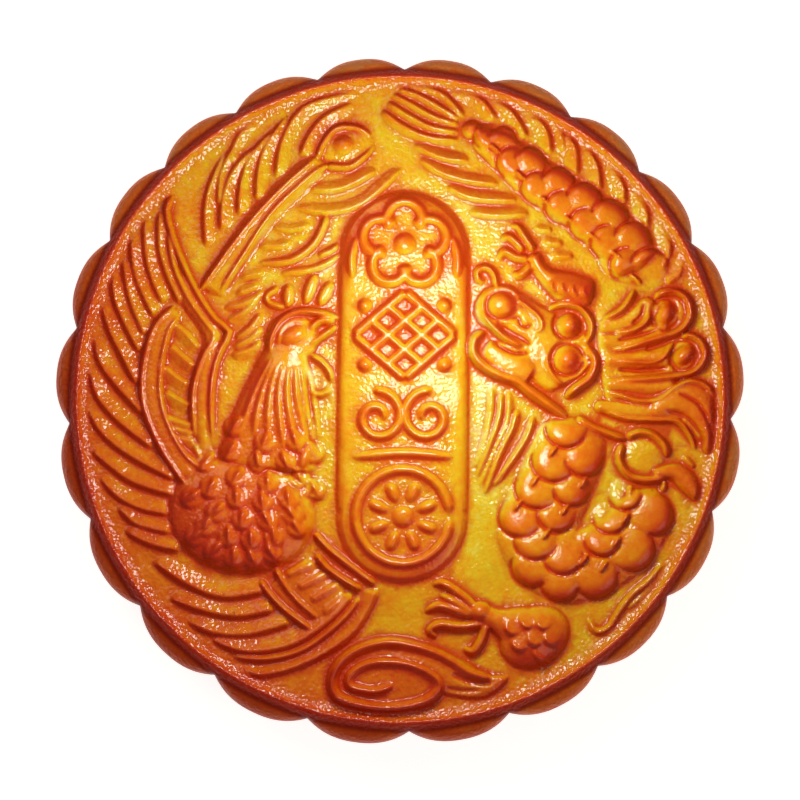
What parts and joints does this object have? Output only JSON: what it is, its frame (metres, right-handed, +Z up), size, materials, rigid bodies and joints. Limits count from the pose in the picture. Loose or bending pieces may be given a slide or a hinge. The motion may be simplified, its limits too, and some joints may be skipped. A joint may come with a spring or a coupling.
{
  "type": "mooncake",
  "caption": "Large round pressed mooncake: petalled side, raised rim, and a face moulded with a phoenix and a dragon on either side of an upright panel of plain ornaments.",
  "frame": {"origin": "centre of the flat base, on the plane that the cake stands on", "axes": "+Z up through the pressed face; +Y towards the top of the upright panel; +X towards the dragon"},
  "size_m": [0.1496, 0.1492, 0.0361],
  "materials": {
    "baked_crust": "satin"
  },
  "bodies": {
    "root": {"mooncake": "baked_crust"}
  },
  "joints": []
}
